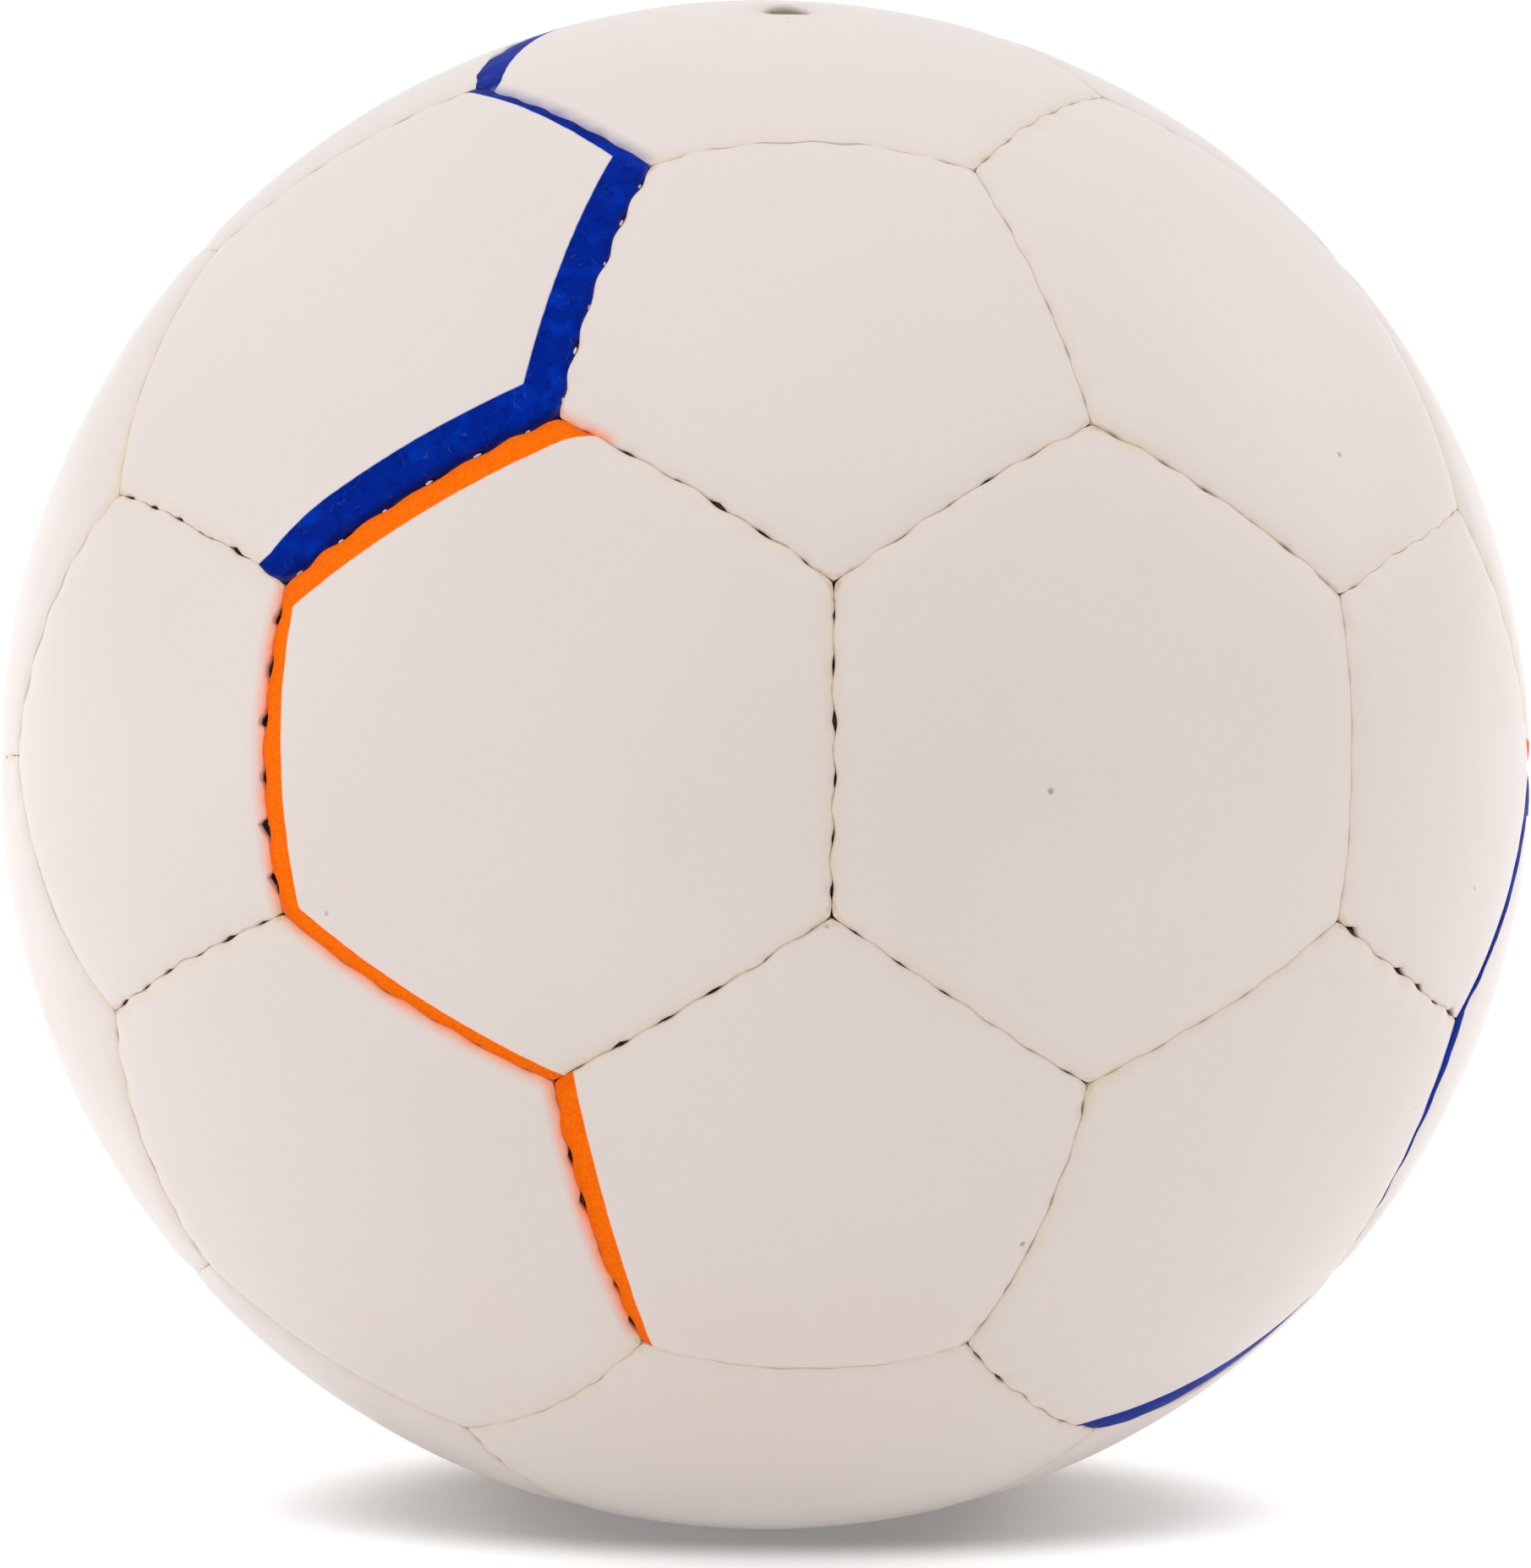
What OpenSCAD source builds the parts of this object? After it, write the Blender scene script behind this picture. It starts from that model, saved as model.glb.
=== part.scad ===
// Stitched handball of thirty-two panels: twelve pentagons and twenty hexagons laid out as a
// truncated icosahedron, sewn over a rubber bladder with a needle valve.
// Millimetres. The origin is the ball's centre and +Z runs out through the valve.

/* [Ball] */
// Diameter of the ball over the crowns of its panels
ball_d = 188; // [160:1:194]

/* [Panels] */
// Thickness of the synthetic leather cover
cover_t = 1.8; // [1.4:0.1:2.4]
// Thickness of the cloth lining glued behind each cover
lining_t = 1.2; // [0.8:0.1:1.8]
// Gap left between two panels where they meet
seam_gap = 0.3; // [0.2:0.05:0.5]
// Width over which a panel's edge rolls down into its seam
roll_w = 3.2; // [2.4:0.1:4.2]
// Radius of the rolled edge
roll_r = 6.5; // [6:0.1:9]
// Angle in degrees at which the rolled edge leaves the ball's round
roll_start = 7; // [6:0.5:10]
// Thickness of the turned-in rim that carries the stitches
rim_t = 1.3; // [1:0.1:1.8]
// How far the rim stands in below the lining
rim_h = 2; // [1.8:0.1:2.8]
// Clearance between a lining and the rim round it
lining_clear = 0.1; // [0.05:0.05:0.3]
// Thickness of the glue between a lining and its cover
glue_t = 0.05; // [0.02:0.01:0.1]

/* [Stitching] */
// Stitches along one seam
stitch_count = 6; // [4:1:7]
// Diameter of the waxed thread
thread_d = 0.9; // [0.7:0.05:0.95]
// Diameter of the bend where the thread turns at the mouth of a needle hole
bend_d = 1.4; // [1.2:0.05:1.6]
// Thickness of that bend
bend_t = 1.1; // [1:0.05:1.2]
// Clearance round the thread in its needle hole, and below each bend
hole_clear = 0.1; // [0.05:0.05:0.2]

/* [Bladder] */
// Thickness of the bladder's wall
bladder_t = 0.9; // [0.6:0.1:1.4]
// Clearance between the bladder and the rims that press on it
bladder_clear = 0.3; // [0.1:0.05:0.5]

/* [Valve] */
// Distance of the valve from the middle of its hexagon, over the surface
valve_shift = 11; // [0:0.5:14]
// Diameter of the hole punched in the cover
cover_hole_d = 4.6; // [4:0.1:6]
// Diameter of the valve's stem
stem_d = 9; // [8:0.1:11]
// Clearance round the stem in the lining and its patch
stem_clear = 0.3; // [0.1:0.1:0.6]
// Gap between the stem's top and the cover over it
stem_gap = 0.1; // [0.05:0.05:0.3]
// How far the stem hangs inside the bladder
stem_inside = 9; // [8:0.5:12]
// Diameter of the flange that is bonded inside the bladder
flange_d = 24; // [18:1:28]
// Thickness of that flange
flange_t = 1; // [0.8:0.1:1.5]
// Diameter of the rubber core pressed into the stem
core_d = 5.2; // [4.8:0.1:5.6]
// Diameter of the core's head
core_head_d = 6.8; // [6.4:0.1:7.2]
// Thickness of the core's head
core_head_t = 1.3; // [1:0.1:1.6]
// Height by which the core's bead stands out of its side
core_bead = 0.3; // [0.2:0.05:0.4]
// Clearance between the core and the stem
core_clear = 0.05; // [0.02:0.01:0.08]
// Thickness of the closed end of the core, below the needle's bore
core_end_t = 3; // [2:0.5:4]
// Diameter of the bore that takes the pump's needle
needle_d = 2.2; // [2:0.05:2.6]
// Width of the slit that the needle opens in the core's end
slit_w = 2; // [1.5:0.1:2.4]
// Gap between the lips of that slit
slit_gap = 0.12; // [0.08:0.02:0.2]
// Diameter of the cloth patch behind the valve's panel
patch_d = 28; // [24:1:30]
// Thickness of that patch
patch_t = 0.6; // [0.4:0.1:0.9]

/* [Hidden] */
$fn = 96;
// Overrun of every cut past the surface that it opens
over = 1;

// Radii of the layers, from the crown inwards
ball_r = ball_d / 2;
cover_in_r = ball_r - cover_t;
lining_out_r = cover_in_r - glue_t;
lining_in_r = lining_out_r - lining_t;
rim_in_r = lining_in_r - rim_h;
stitch_r = rim_in_r + rim_h / 2;
bladder_r = rim_in_r - bladder_clear;
bladder_in_r = bladder_r - bladder_t;

// Axes of the panels, from the golden ratio, as unit vectors. Pentagons lie on the corners of
// an icosahedron and hexagons over its faces, and the first hexagon is the valve's.
golden = (1 + sqrt(5)) / 2;
signs = [1, -1];
same = 0.001;
function unit(v) = v / norm(v);
function turned(v, times) = times == 0 ? v : turned([v[2], v[0], v[1]], times - 1);
pentagon_axes = [
    for (times = [0 : 2], a = signs, b = signs) unit(turned([0, a, b * golden], times))
];
valve_hexagon = unit([0, golden, 1 / golden]);
face_axes = [
    for (i = [0 : 9], j = [i + 1 : 10], k = [j + 1 : 11])
        let (p = pentagon_axes[i], q = pentagon_axes[j], r = pentagon_axes[k])
            if (max(angle_between(p, q), angle_between(q, r), angle_between(p, r)) < 90)
                unit(p + q + r)
];
hexagon_axes = concat(
    [valve_hexagon],
    [for (axis = face_axes) if (norm(axis - valve_hexagon) > same) axis]
);

// Angles at the centre of the ball: between two panels, from the axis of a panel to its seams,
// and along one seam
function angle_between(a, b) = acos(a * b);
hex_hex_angle = min([for (i = [1 : 19]) angle_between(hexagon_axes[0], hexagon_axes[i])]);
pent_hex_angle = min([for (axis = hexagon_axes) angle_between(pentagon_axes[0], axis)]);
hexagon_angle = hex_hex_angle / 2;
pentagon_angle = pent_hex_angle - hexagon_angle;
seam_angle = 2 * atan(sin(hexagon_angle) * tan(30));

// The rolled edge, seen across a seam: x is the distance from the ball's centre and y is the
// distance from the seam's plane. Its arc starts on the ball's round at roll_w.
roll_turn = asin(roll_w / ball_r) - roll_start;
roll_centre = [
    sqrt(pow(ball_r, 2) - pow(roll_w, 2)) - roll_r * cos(roll_turn),
    roll_w - roll_r * sin(roll_turn)
];

// The layout is tilted so that the valve, and not the middle of its hexagon, lies on +Z
layout_tilt = atan2(valve_hexagon[1], valve_hexagon[2]) + valve_shift / ball_r * 180 / PI;

// Heights and radii in the valve
stem_r = stem_d / 2;
stem_top = sqrt(pow(cover_in_r, 2) - pow(stem_r, 2)) - stem_gap;
stem_low = bladder_in_r - stem_inside;
core_top = stem_top - core_clear;
core_head_low = core_top - core_head_t;
bead_z = (core_head_low + stem_low) / 2;

// Names of the nodes
function numbered(name, i) = str(name, i < 10 ? "_0" : "_", i);
hexagon_names = concat(["valve_panel"], [for (i = [1 : 19]) numbered("hexagon_panel", i)]);
pentagon_names = [for (i = [1 : 12]) numbered("pentagon_panel", i)];
thread_names = [for (i = [1 : 6]) numbered("seam_threads", i)];
inner_names = [
    "hexagon_linings", "pentagon_linings", "bladder", "valve_stem", "valve_core", "valve_patch"
];

// Seams, each as the unit vector out through its middle and the axis of one panel beside it
function seam_middle(p, q, angle, whole) = (sin(whole - angle) * p + sin(angle) * q) / sin(whole);
seams = concat(
    [
        for (i = [0 : 18], j = [i + 1 : 19])
            let (p = hexagon_axes[i], q = hexagon_axes[j])
                if (angle_between(p, q) < hex_hex_angle + same)
                    [seam_middle(p, q, hexagon_angle, hex_hex_angle), p]
    ],
    [
        for (p = pentagon_axes, q = hexagon_axes)
            if (angle_between(p, q) < pent_hex_angle + same)
                [seam_middle(p, q, pentagon_angle, pent_hex_angle), p]
    ]
);

// Places its children with their x axis along x_axis and their z axis along z_axis
module along(x_axis, z_axis) {
    y_axis = cross(z_axis, x_axis);
    multmatrix([for (i = [0 : 2]) [x_axis[i], y_axis[i], z_axis[i], 0]]) children();
}

// The part of v that is square to axis, as a unit vector
function square_to(v, axis) = unit(v - (v * axis) * axis);

// Turns the regular layout so that the valve points along +Z
module layout() {
    rotate([layout_tilt, 0, 0]) children();
}

// Places a panel that was drawn on the z axis, with a seam towards the nearest hexagon
module panel_place(axis) {
    near = [
        for (h = hexagon_axes)
            if (angle_between(h, axis) < hex_hex_angle + same && norm(h - axis) > same) h
    ][0];
    layout() along(square_to(near, axis), axis) children();
}

// Seam number k of a panel: x runs out through the seam's middle and z into the panel
module at_seam(k, sides, angle) {
    rotate([0, 0, 360 * k / sides]) rotate([0, angle - 90, 0]) children();
}

// A ball whose poles lie to the side of the panel that is cut from it
module side_ball(r) {
    rotate([0, 90, 0]) sphere(r, $fn = 144);
}

// What a seam leaves of the ball: a flat wall half a gap from its plane, and the rolled edge
module rolled_side() {
    rotate_extrude() intersection() {
        union() {
            translate(roll_centre) circle(roll_r);
            square(roll_centre);
            translate([0, roll_centre[1]]) square([ball_r + over, ball_r]);
        }
        translate([0, seam_gap / 2]) square(2 * ball_r);
    }
}

// The half-space on a panel's side of a seam, from inset past the seam's plane
module flat_side(inset) {
    translate([0, -ball_r, inset]) cube([ball_r + over, 2 * ball_r, ball_r]);
}

// The part of a ball that lies within all the rolled edges of a panel
module rolled_cap(r, sides, angle, k = 0) {
    if (k == sides) side_ball(r);
    else intersection() {
        rolled_cap(r, sides, angle, k + 1);
        at_seam(k, sides, angle) rolled_side();
    }
}

// The part of a ball under a panel that keeps inset from the planes of all its seams
module flat_cap(r, sides, angle, inset, k = 0) {
    if (k == sides) side_ball(r);
    else intersection() {
        flat_cap(r, sides, angle, inset, k + 1);
        at_seam(k, sides, angle) flat_side(inset);
    }
}

// Needle hole number i of a seam that runs round z from x
module at_stitch(i) {
    rotate([0, 0, ((i + 0.5) / stitch_count - 0.5) * seam_angle])
        translate([stitch_r, 0, 0]) children();
}

// One cover with its rolled edge, turned-in rim and needle holes, on the z axis
module cover(sides, angle) {
    rim_in = seam_gap / 2 + rim_t;
    difference() {
        rolled_cap(ball_r, sides, angle);
        side_ball(rim_in_r);
        flat_cap(cover_in_r, sides, angle, rim_in);
        for (k = [0 : sides - 1], i = [0 : stitch_count - 1])
            at_seam(k, sides, angle) at_stitch(i) translate([0, 0, -over])
                cylinder(d = thread_d + 2 * hole_clear, h = rim_in + 2 * over, $fn = 24);
    }
}

// One cloth lining, which fills the cover inside its rim
module lining(sides, angle) {
    difference() {
        flat_cap(lining_out_r, sides, angle, seam_gap / 2 + rim_t + lining_clear);
        side_ball(lining_in_r);
    }
}

module hexagon_panel(axis) {
    color("linen") panel_place(axis) cover(6, hexagon_angle);
}

module pentagon_panel(axis) {
    color("linen") panel_place(axis) cover(5, pentagon_angle);
}

module valve_panel() {
    color("linen") difference() {
        hexagon_panel(valve_hexagon);
        translate([0, 0, rim_in_r]) cylinder(d = cover_hole_d, h = ball_r);
    }
}

module hexagon_linings() {
    color("ivory") difference() {
        for (axis = hexagon_axes) panel_place(axis) lining(6, hexagon_angle);
        translate([0, 0, rim_in_r]) cylinder(d = stem_d + 2 * stem_clear, h = ball_r);
    }
}

module pentagon_linings() {
    color("ivory") for (axis = pentagon_axes) panel_place(axis) lining(5, pentagon_angle);
}

// The thread of one seam, which weaves from rim to rim through the needle holes. A run ends
// inside a bend, short of the thread that comes through the hole.
module seam_thread(middle, axis) {
    $fn = 24;
    side = seam_gap / 2 + rim_t + hole_clear + bend_t / 2;
    step = seam_angle / stitch_count;
    run_end = (thread_d + sqrt(pow(bend_d, 2) - pow(thread_d, 2))) / 4;
    run_l = 2 * (stitch_r * sin(step / 2) - run_end);
    along(middle, square_to(axis, middle)) for (i = [0 : stitch_count - 1]) {
        at_stitch(i) cylinder(d = thread_d, h = 2 * side, center = true);
        at_stitch(i) translate([0, 0, side]) cylinder(d = bend_d, h = bend_t, center = true);
        at_stitch(i) translate([0, 0, -side]) cylinder(d = bend_d, h = bend_t, center = true);
        if (i > 0)
            rotate([0, 0, (i - stitch_count / 2) * step])
                translate([stitch_r * cos(step / 2), 0, signs[i % 2] * side])
                    rotate([90, 0, 0]) cylinder(d = thread_d, h = run_l, center = true);
    }
}

// One length of thread, which sews its share of the seams
module seam_threads(number) {
    color("dimgray") layout()
        for (i = [number : len(thread_names) : len(seams) - 1])
            seam_thread(seams[i][0], seams[i][1]);
}

module bladder() {
    color("tan") difference() {
        sphere(bladder_r);
        sphere(bladder_in_r);
        translate([0, 0, stem_low]) cylinder(d = stem_d, h = ball_r);
    }
}

// Stem with the flange that is bonded to the inside of the bladder
module valve_stem() {
    color("dimgray") difference() {
        union() {
            intersection() {
                difference() {
                    sphere(bladder_in_r);
                    sphere(bladder_in_r - flange_t);
                }
                translate([0, 0, stem_low]) cylinder(d = flange_d, h = ball_r);
            }
            translate([0, 0, stem_low]) cylinder(d = stem_d, h = stem_top - stem_low);
        }
        translate([0, 0, stem_low - over])
            cylinder(d = core_d + 2 * core_clear, h = ball_r);
        translate([0, 0, core_head_low - core_clear])
            cylinder(d = core_head_d + 2 * core_clear, h = ball_r);
        translate([0, 0, bead_z]) bead(core_clear);
    }
}

// The core's bead, or the groove for it when grown by a clearance
module bead(grow) {
    rotate_extrude() translate([core_d / 2 - core_bead, 0]) circle(2 * core_bead + grow, $fn = 48);
}

module valve_core() {
    color("darkgray") difference() {
        union() {
            translate([0, 0, stem_low]) cylinder(d = core_d, h = core_top - stem_low);
            translate([0, 0, core_head_low]) cylinder(d = core_head_d, h = core_head_t);
            translate([0, 0, bead_z]) bead(0);
        }
        translate([0, 0, stem_low + core_end_t]) cylinder(d = needle_d, h = ball_r);
        translate([-slit_w / 2, -slit_gap / 2, stem_low - over])
            cube([slit_w, slit_gap, core_end_t + 2 * over]);
    }
}

module valve_patch() {
    color("ivory") difference() {
        intersection() {
            side_ball(lining_in_r);
            translate([0, 0, bladder_in_r]) cylinder(d = patch_d, h = ball_r);
        }
        side_ball(lining_in_r - patch_t);
        cylinder(d = stem_d + 2 * stem_clear, h = ball_r);
    }
}

valve_panel();
for (i = [1 : 19])
    hexagon_panel(hexagon_axes[i]);
for (i = [0 : 11])
    pentagon_panel(pentagon_axes[i]);
for (i = [0 : len(thread_names) - 1])
    seam_threads(i);
hexagon_linings();
pentagon_linings();
bladder();
valve_stem();
valve_core();
valve_patch();
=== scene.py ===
import math

import bpy
import bmesh
from mathutils import Matrix, Vector


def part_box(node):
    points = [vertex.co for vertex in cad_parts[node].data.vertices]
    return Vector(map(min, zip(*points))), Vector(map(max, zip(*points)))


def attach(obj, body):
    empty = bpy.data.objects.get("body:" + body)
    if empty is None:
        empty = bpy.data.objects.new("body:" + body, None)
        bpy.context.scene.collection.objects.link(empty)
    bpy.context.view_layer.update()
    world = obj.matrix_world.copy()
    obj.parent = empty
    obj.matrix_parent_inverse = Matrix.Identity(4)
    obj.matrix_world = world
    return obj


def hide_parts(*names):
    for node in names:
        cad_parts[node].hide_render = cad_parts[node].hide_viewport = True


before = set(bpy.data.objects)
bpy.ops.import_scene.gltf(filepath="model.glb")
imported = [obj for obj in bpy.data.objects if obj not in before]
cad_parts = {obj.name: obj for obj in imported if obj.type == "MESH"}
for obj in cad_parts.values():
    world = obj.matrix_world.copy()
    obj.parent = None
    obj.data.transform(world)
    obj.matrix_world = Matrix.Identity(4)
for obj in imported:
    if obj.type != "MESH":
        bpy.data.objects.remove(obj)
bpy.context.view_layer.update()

# Sizes of the ball, in millimetres and degrees, as the solids have them. A panel's angle is the one
# from its middle to its seam, SEAM_ARC is the one along a seam, and SEAM_MM is about a seam's
# straight length.

BALL_R = 94.0
HEXAGON_ANGLE = 20.9052
PENTAGON_ANGLE = 16.4722
SEAM_ARC = 23.2814
LAYOUT_TILT = 75.7997
STITCHES_A_SEAM = 6
SEAM_MM = 37.94
COVER_IN_R = 92.2
RIM_IN_R = 88.95
RIM_T = 1.3
COVER_HOLE_R = 2.3
MM = 0.001

# Two directions closer than this, in radians, are the same
SAME_WAY = 0.01

GOLD = (1 + 5 ** 0.5) / 2


def colour(red, green, blue):
    """A colour given as 0 to 255 on screen, as the linear numbers that a shader takes."""
    def linear(c):
        c = c / 255
        return c / 12.92 if c <= 0.04045 else ((c + 0.055) / 1.055) ** 2.4
    return (linear(red), linear(green), linear(blue), 1.0)


# Node trees


class Wire:
    """An output of a node that Python's operators can work on."""

    def __init__(self, trees, socket):
        self.trees = trees
        self.socket = socket

    def maths(self, operation, *others, clamp=False):
        node = self.trees.node("ShaderNodeMath", dict(operation=operation, use_clamp=clamp),
                               dict(enumerate((self, *others))))
        return node.wire(0)

    def __add__(self, other):
        return self.maths("ADD", other)

    def __radd__(self, other):
        return self.maths("ADD", other)

    def __sub__(self, other):
        return self.maths("SUBTRACT", other)

    def __rsub__(self, other):
        return self.trees.number(other).maths("SUBTRACT", self)

    def __mul__(self, other):
        return self.maths("MULTIPLY", other)

    def __rmul__(self, other):
        return self.maths("MULTIPLY", other)

    def __truediv__(self, other):
        return self.maths("DIVIDE", other)

    def __rtruediv__(self, other):
        return self.trees.number(other).maths("DIVIDE", self)

    def __neg__(self):
        return self.maths("MULTIPLY", -1.0)

    def __pow__(self, other):
        return self.maths("POWER", other)

    def __lt__(self, other):
        return self.maths("LESS_THAN", other)

    def __gt__(self, other):
        return self.maths("GREATER_THAN", other)

    def clamped(self):
        return self.maths("ADD", 0.0, clamp=True)

    def smallest(self, other):
        return self.maths("MINIMUM", other)

    def largest(self, other):
        return self.maths("MAXIMUM", other)

    def ramp(self, low, high):
        """0 below low, 1 above high, straight between them."""
        return ((self - low) / (high - low)).clamped()

    def smooth(self, low, high):
        """0 at low and 1 at high, whichever is larger, with soft ends."""
        t = self.ramp(low, high)
        return t * t * (3.0 - 2.0 * t)


class Made:
    """A node and its outputs as wires."""

    def __init__(self, trees, node):
        self.trees = trees
        self.node = node

    def wire(self, output=0):
        return Wire(self.trees, self.node.outputs[output])


class Trees:
    """One node tree, of shader or of geometry nodes, that grows by one method."""

    def __init__(self, tree):
        self.tree = tree

    def node(self, kind, settings=None, inputs=None):
        node = self.tree.nodes.new(kind)
        for name, value in (settings or {}).items():
            setattr(node, name, value)
        for key, value in (inputs or {}).items():
            socket = node.inputs[key]
            if isinstance(value, Wire):
                self.tree.links.new(value.socket, socket)
            else:
                socket.default_value = value
        return Made(self, node)

    def number(self, value):
        return self.node("ShaderNodeMath", dict(operation="ADD"), {0: float(value), 1: 0.0}).wire()

    def vector(self, x, y, z):
        return self.node("ShaderNodeCombineXYZ", inputs={0: x, 1: y, 2: z}).wire()

    def parts(self, vector):
        node = self.node("ShaderNodeSeparateXYZ", inputs={0: vector})
        return node.wire(0), node.wire(1), node.wire(2)

    def join(self, operation, *values, scale=None):
        inputs = dict(enumerate(values))
        if scale is not None:
            inputs["Scale"] = scale
        node = self.node("ShaderNodeVectorMath", dict(operation=operation), inputs)
        return node.wire("Value" if operation in ("DOT_PRODUCT", "LENGTH", "DISTANCE") else 0)

    def mix_colour(self, factor, a, b):
        return self.node("ShaderNodeMix", dict(data_type="RGBA"),
                         {0: factor, 6: a, 7: b}).wire(2)

    def mix_vector(self, factor, a, b):
        """From a to b, and beyond them where the factor is under 0 or over 1."""
        return self.node("ShaderNodeMix", dict(data_type="VECTOR", clamp_factor=False),
                         {0: factor, 4: a, 5: b}).wire(1)

    def noise(self, place, scale, detail=2.0, rough=0.5, output="Factor"):
        node = self.node("ShaderNodeTexNoise", dict(noise_dimensions="3D"),
                         {"Vector": place, "Scale": scale, "Detail": detail, "Roughness": rough})
        return node.wire(0 if output == "Factor" else 1)


def new_material(name):
    material = bpy.data.materials.new(name)
    material.use_nodes = True
    material.node_tree.nodes.clear()
    return material, Trees(material.node_tree)


def surface(trees, base, roughness, normal, **constants):
    """The shader at the end of a material, with its constant values on its own sockets."""
    shader = trees.node("ShaderNodeBsdfPrincipled", inputs={
        "Base Color": base, "Roughness": roughness, "Normal": normal, **constants})
    trees.node("ShaderNodeOutputMaterial", inputs={"Surface": shader.wire(0)})


def bump(trees, height, strength, distance):
    return trees.node("ShaderNodeBump", inputs={
        "Height": height, "Strength": strength, "Distance": distance}).wire(0)


def in_mm(trees):
    """The place on the ball in millimetres."""
    place = trees.node("ShaderNodeTexCoord").wire("Object")
    return trees.join("SCALE", place, scale=1000.0)


def link(thing):
    bpy.context.scene.collection.objects.link(thing)


# Where the panels and seams are

tilt = Matrix.Rotation(math.radians(LAYOUT_TILT), 3, "X")


def place(x, y, z):
    return (tilt @ Vector((x, y, z))).normalized()


TOP_PENTAGON = place(0, 1, GOLD)
BOTTOM_PENTAGON = place(0, -1, GOLD)
LEFT_PENTAGON = place(-GOLD, 0, 1)
RIGHT_PENTAGON = place(GOLD, 0, 1)
BACK_LEFT_PENTAGON = place(-1, GOLD, 0)
LEFT_HEXAGON = place(-1 / GOLD, 0, GOLD)
RIGHT_HEXAGON = place(1 / GOLD, 0, GOLD)
UPPER_LEFT_HEXAGON = place(-1, 1, 1)
UPPER_RIGHT_HEXAGON = place(1, 1, 1)
LOWER_LEFT_HEXAGON = place(-1, -1, 1)
LOWER_RIGHT_HEXAGON = place(1, -1, 1)
VALVE_HEXAGON = place(0, GOLD, 1 / GOLD)
BOTTOM_HEXAGON = place(0, -GOLD, 1 / GOLD)
BACK_RIGHT_PENTAGON = place(1, -GOLD, 0)
RIGHT_SIDE_HEXAGON = place(GOLD, -1 / GOLD, 0)
UPPER_SIDE_HEXAGON = place(-GOLD, 1 / GOLD, 0)
LOWER_SIDE_HEXAGON = place(-GOLD, -1 / GOLD, 0)

pentagons = [place(*turned)
             for a in (1, -1) for b in (1, -1)
             for turned in ((0, a, b * GOLD), (b * GOLD, 0, a), (a, b * GOLD, 0))]
hexagons = [place(a, b, c) for a in (1, -1) for b in (1, -1) for c in (1, -1)]
hexagons += [place(*turned)
             for a in (1, -1) for b in (1, -1)
             for turned in ((0, a * GOLD, b / GOLD), (b / GOLD, 0, a * GOLD),
                            (a * GOLD, b / GOLD, 0))]
all_panels = pentagons + hexagons

# No two panels that touch are further apart than two hexagons. This leaves a degree to spare.
NEIGHBOUR_ANGLE = math.radians(2 * HEXAGON_ANGLE + 1)


def same(a, b):
    return a.angle(b) < SAME_WAY


def sides_of(panel):
    return 5 if any(same(panel, pentagon) for pentagon in pentagons) else 6


def seam_angle(panel):
    return math.radians(HEXAGON_ANGLE if sides_of(panel) == 6 else PENTAGON_ANGLE)


def neighbours(panel):
    return [other for other in all_panels
            if not same(panel, other) and panel.angle(other) < NEIGHBOUR_ANGLE]


def seam(panel, neighbour):
    """The seam's middle, its plane's normal towards the neighbour, and the way along it."""
    angle = seam_angle(panel)
    across = (neighbour - panel.dot(neighbour) * panel).normalized()
    middle = panel * math.cos(angle) + across * math.sin(angle)
    normal = across * math.cos(angle) - panel * math.sin(angle)
    return middle, normal, normal.cross(middle)


# Seams that bulge: how far a seam's middle lies beyond the first panel's plane, in millimetres

BOWS = [
    (TOP_PENTAGON, VALVE_HEXAGON, 2.5),
    (TOP_PENTAGON, UPPER_LEFT_HEXAGON, 0.4),
    (TOP_PENTAGON, LEFT_HEXAGON, -0.35),
    (TOP_PENTAGON, RIGHT_HEXAGON, -0.3),
    (UPPER_LEFT_HEXAGON, VALVE_HEXAGON, -0.35),
    (UPPER_LEFT_HEXAGON, LEFT_HEXAGON, -0.4),
    (UPPER_LEFT_HEXAGON, LEFT_PENTAGON, -1.0),
    (UPPER_LEFT_HEXAGON, UPPER_SIDE_HEXAGON, 1.3),
    (UPPER_RIGHT_HEXAGON, VALVE_HEXAGON, 0.6),
    (RIGHT_PENTAGON, UPPER_RIGHT_HEXAGON, 0.4),
    (RIGHT_PENTAGON, LOWER_RIGHT_HEXAGON, 0.6),
    (LEFT_PENTAGON, LEFT_HEXAGON, -1.3),
    (LEFT_PENTAGON, LOWER_LEFT_HEXAGON, -0.6),
    (LEFT_PENTAGON, UPPER_SIDE_HEXAGON, 2.6),
    (LEFT_PENTAGON, LOWER_SIDE_HEXAGON, 2.2),
    (LOWER_LEFT_HEXAGON, LEFT_HEXAGON, -0.4),
    (LOWER_LEFT_HEXAGON, LOWER_SIDE_HEXAGON, 1.3),
    (LOWER_LEFT_HEXAGON, BOTTOM_HEXAGON, 1.1),
    (LOWER_RIGHT_HEXAGON, BOTTOM_HEXAGON, 0.85),
    (BOTTOM_PENTAGON, LOWER_LEFT_HEXAGON, 0.6),
    (BOTTOM_PENTAGON, LOWER_RIGHT_HEXAGON, 1.1),
    (BOTTOM_PENTAGON, BOTTOM_HEXAGON, 2.6),
    (VALVE_HEXAGON, BACK_LEFT_PENTAGON, 5.0),
    (LOWER_RIGHT_HEXAGON, BACK_RIGHT_PENTAGON, 6.0),
    (LOWER_RIGHT_HEXAGON, RIGHT_SIDE_HEXAGON, -1.5),
]

# Seams whose stitches have pulled their holes open, and by how much. The others are drawn tight.

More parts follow.
